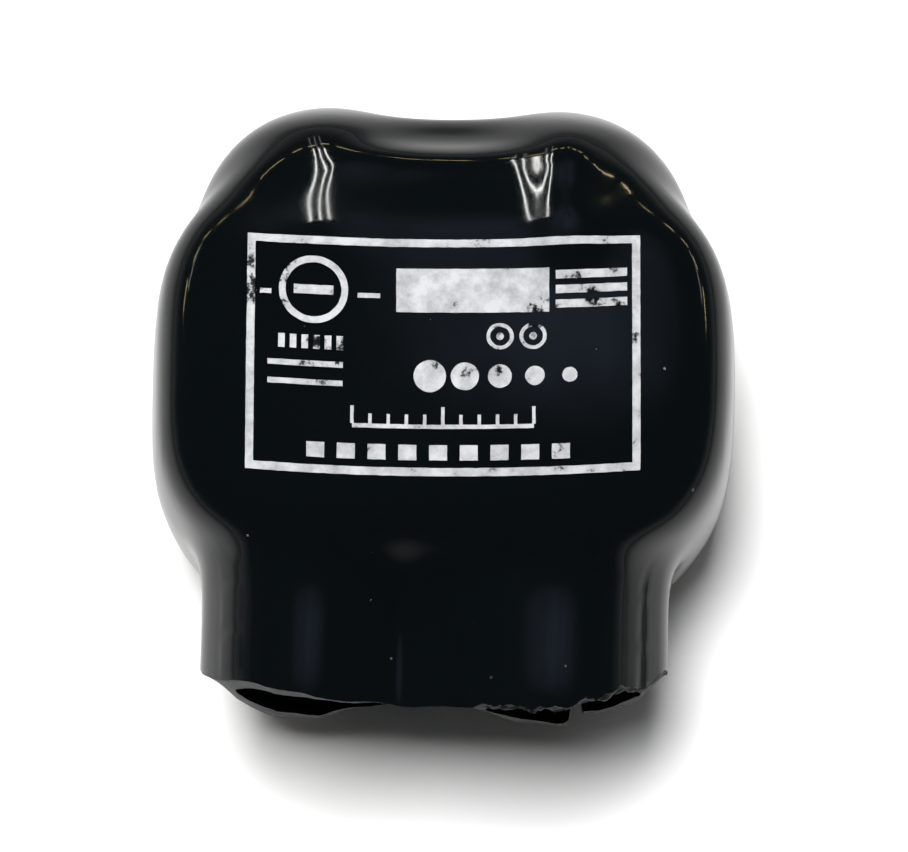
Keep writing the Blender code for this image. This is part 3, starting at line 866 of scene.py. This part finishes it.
def makeFloor():
    s = stageLook
    bm = bmesh.new()
    bmesh.ops.create_grid(bm, x_segments=8, y_segments=8, size=s["size"])
    material, tree, surface, place = startMaterial("paperFloor")
    tone = blend(tree, cloudy(tree, place, s["grainScale"], 3), *s["colours"])
    tree.links.new(tone, surface.inputs["Base Color"])
    surface.inputs["Roughness"].default_value = s["roughness"]
    surface.inputs["Specular IOR Level"].default_value = s["specular"]
    rays = node(tree, "ShaderNodeLightPath")
    seen = maths(tree, "MAXIMUM", rays.outputs["Is Camera Ray"], rays.outputs["Is Glossy Ray"])
    # Painted shade: no glow near the object, so the floor round it stays darker for the camera and in
    # reflections
    away = node(tree, "ShaderNodeVectorMath", {0: place}, operation="LENGTH").outputs["Value"]
    lift = maths(tree, "MULTIPLY", seen, remap(tree, away, s["liftOutsidePaintedShade"], (0, s["lift"])))
    glowOutsidePaintedShade = node(tree, "ShaderNodeEmission", {"Color": (1, 1, 1, 1), "Strength": lift})
    lit = node(tree, "ShaderNodeAddShader", {0: surface.outputs[0], 1: glowOutsidePaintedShade.outputs[0]})
    dark = node(tree, "ShaderNodeEmission", {"Strength": 0.0})
    share = remap(tree, away, s["mirrorReach"], s["mirrorLoss"])
    loss = maths(tree, "MULTIPLY", rays.outputs["Is Glossy Ray"], share)
    dimmed = node(tree, "ShaderNodeMixShader", {  # mirrored paper is dimmer than white
        "Fac": loss, 1: lit.outputs[0], 2: dark.outputs[0]})
    clear = node(tree, "ShaderNodeBsdfTransparent")
    sides = node(tree, "ShaderNodeNewGeometry")
    oneSided = node(tree, "ShaderNodeMixShader", {
        "Fac": sides.outputs["Backfacing"], 1: dimmed.outputs[0], 2: clear.outputs[0]})
    tree.links.new(oneSided.outputs[0], tree.nodes["Material Output"].inputs["Surface"])
    floor = newPiece("paper_floor", bm, material)


roomLook = {
    "levels": ((0.0, (0.36, 0.37, 0.37, 1)), (0.17, (0.12, 0.125, 0.125, 1)),
               (0.27, (0.030, 0.034, 0.034, 1)), (0.6, (0.009, 0.012, 0.014, 1))),  # from the floor up
    "hazeTowards": (0.18, 0.38, 0.90), "hazeFrom": (0.90, 1.0), "hazeScale": 7,
    "hazeColour": (0.30, 0.36, 0.55, 1), "backdrop": (1, 1, 1, 1),
}


def makeWorld():
    s = roomLook
    world = bpy.data.worlds.new("dimRoom")
    bpy.context.scene.world = world
    world.use_nodes = True
    tree = world.node_tree
    tree.nodes.clear()
    place = node(tree, "ShaderNodeTexCoord").outputs["Generated"]
    split = node(tree, "ShaderNodeSeparateXYZ", {"Vector": place})
    ramp = node(tree, "ShaderNodeValToRGB", {"Fac": split.outputs["Z"]})
    steps = ramp.color_ramp.elements
    for step, (height, colour) in zip(steps, s["levels"]):
        step.position = height
        step.color = colour
    for height, colour in s["levels"][2:]:
        steps.new(height).color = colour
    towards = node(tree, "ShaderNodeVectorMath", {0: place, 1: Vector(s["hazeTowards"]).normalized()},
                   operation="DOT_PRODUCT")
    spot = node(tree, "ShaderNodeMapRange", {
        "Value": towards.outputs["Value"], "From Min": s["hazeFrom"][0], "From Max": s["hazeFrom"][1]},
        interpolation_type="SMOOTHSTEP")
    haze = maths(tree, "MULTIPLY", spot.outputs["Result"], cloudy(tree, place, s["hazeScale"], 3))
    hazed = blend(tree, haze, ramp.outputs["Color"], s["hazeColour"])
    rays = node(tree, "ShaderNodeLightPath")
    shown = blend(tree, rays.outputs["Is Camera Ray"], hazed, s["backdrop"])
    sky = node(tree, "ShaderNodeBackground", {"Color": shown, "Strength": 1.0})
    output = node(tree, "ShaderNodeOutputWorld")
    tree.links.new(sky.outputs[0], output.inputs["Surface"])


def addLamp(name, place, size, power, colour=(1.0, 1.0, 1.0), turn=None, mirrored=True):
    lamp = bpy.data.lights.new(name, "AREA")
    lamp.shape = "RECTANGLE"
    lamp.size, lamp.size_y = size
    lamp.energy = power
    lamp.color = colour
    holder = bpy.data.objects.new(name, lamp)
    holder.location = place
    if turn is None:  # towards the object
        turn = (Vector((0, 0, 0)) - Vector(place)).to_track_quat("-Z", "Y").to_euler()
    holder.rotation_euler = turn
    holder.visible_glossy = mirrored
    bpy.context.scene.collection.objects.link(holder)


# Places and sizes in metres, power in watts, angles in degrees
softLamps = {
    "keySoft": {"place": (-0.105, 0.02, 1.25), "size": (0.36, 0.28), "power": 20.5, "colour": (1, 1, 1)},
    "fillSoft": {"place": (-0.1, 0.3, 1.4), "size": (1.3, 1.3), "power": 3.2, "colour": (1, 0.93, 0.88)},
}
tubeLamps = {"x": (-0.80, -0.64, -0.48), "y": 1.65, "z": 1.7, "size": (0.024, 1.3), "power": 3.6,
             "tilt": -38, "colour": (1.0, 1.0, 0.98)}
farTubeLamps = {"spread": 1.8, "y": 4.0, "z": 1.65, "size": (0.05, 1.2), "power": 0.4, "tilt": -68}
sideTubeLamps = {"x": (-2.2, 2.2), "y": 1.2, "z": 1.25, "size": (0.7, 0.02), "power": 0.4}
battenLamps = {"count": 15, "start": -70, "step": 10, "away": 2.2, "height": 0.95, "stagger": 0.05,
               "size": (0.22, 0.022), "power": 0.26, "colour": (1.0, 0.82, 0.45)}


def makeLamps():
    for name, s in softLamps.items():
        addLamp(name, s["place"], s["size"], s["power"], s["colour"], mirrored=False)
    near, far = tubeLamps, farTubeLamps
    for i, x in enumerate(near["x"]):  # ceiling tubes that run away from the camera
        addLamp("tube%d" % i, (x, near["y"], near["z"]), near["size"], near["power"], near["colour"],
                turn=(math.radians(near["tilt"]), 0, 0))
        addLamp("farTube%d" % i, (far["spread"] * x, far["y"], far["z"]), far["size"], far["power"],
                near["colour"], turn=(math.radians(far["tilt"]), 0, 0))
    s = sideTubeLamps
    for i, x in enumerate(s["x"]):  # side tubes, along the same way
        aim, along = Vector((x, 0, s["z"])).normalized(), Vector((0, 1, 0))
        addLamp("sideTube%d" % i, (x, s["y"], s["z"]), s["size"], s["power"],
                turn=Matrix((along, aim.cross(along), aim)).transposed().to_euler())
    s = battenLamps
    for i in range(s["count"]):  # far warm battens, low round the far side
        turn = math.radians(s["start"] + s["step"] * i)
        place = (s["away"] * math.sin(turn), s["away"] * math.cos(turn), s["height"] + s["stagger"] * (i % 2))
        addLamp("batten%d" % i, place, s["size"], s["power"], s["colour"])


cameraView = {"elevation": 76.0, "distance": 0.30, "lens": 218.0, "roll": 1.0,
              "target": (0, 0.646 * mm, 16.5 * mm), "slide": (0.573 * mm, -0.764 * mm)}


def makeCamera():
    s = cameraView
    rise = math.radians(s["elevation"])
    back = Vector((0, -math.cos(rise), math.sin(rise)))
    right = Vector((1, 0, 0))
    up = back.cross(right)
    data = bpy.data.cameras.new("photoCamera")
    data.sensor_width = 36
    data.lens = s["lens"]
    data.clip_start = 0.01
    data.clip_end = 20
    camera = bpy.data.objects.new("photoCamera", data)
    turn = Matrix.Rotation(math.radians(s["roll"]), 3, back)
    right, up = turn @ right, turn @ up
    camera.location = Vector(s["target"]) + back * s["distance"] + right * s["slide"][0] + up * s["slide"][1]
    camera.rotation_mode = "QUATERNION"
    camera.rotation_quaternion = Matrix((right, up, back)).transposed().to_quaternion()
    bpy.context.scene.collection.objects.link(camera)
    bpy.context.scene.camera = camera


makeFloor()
makeWorld()
makeLamps()
makeCamera()
bpy.context.scene.view_settings.view_transform = "Standard"
say("floor, light and camera set")
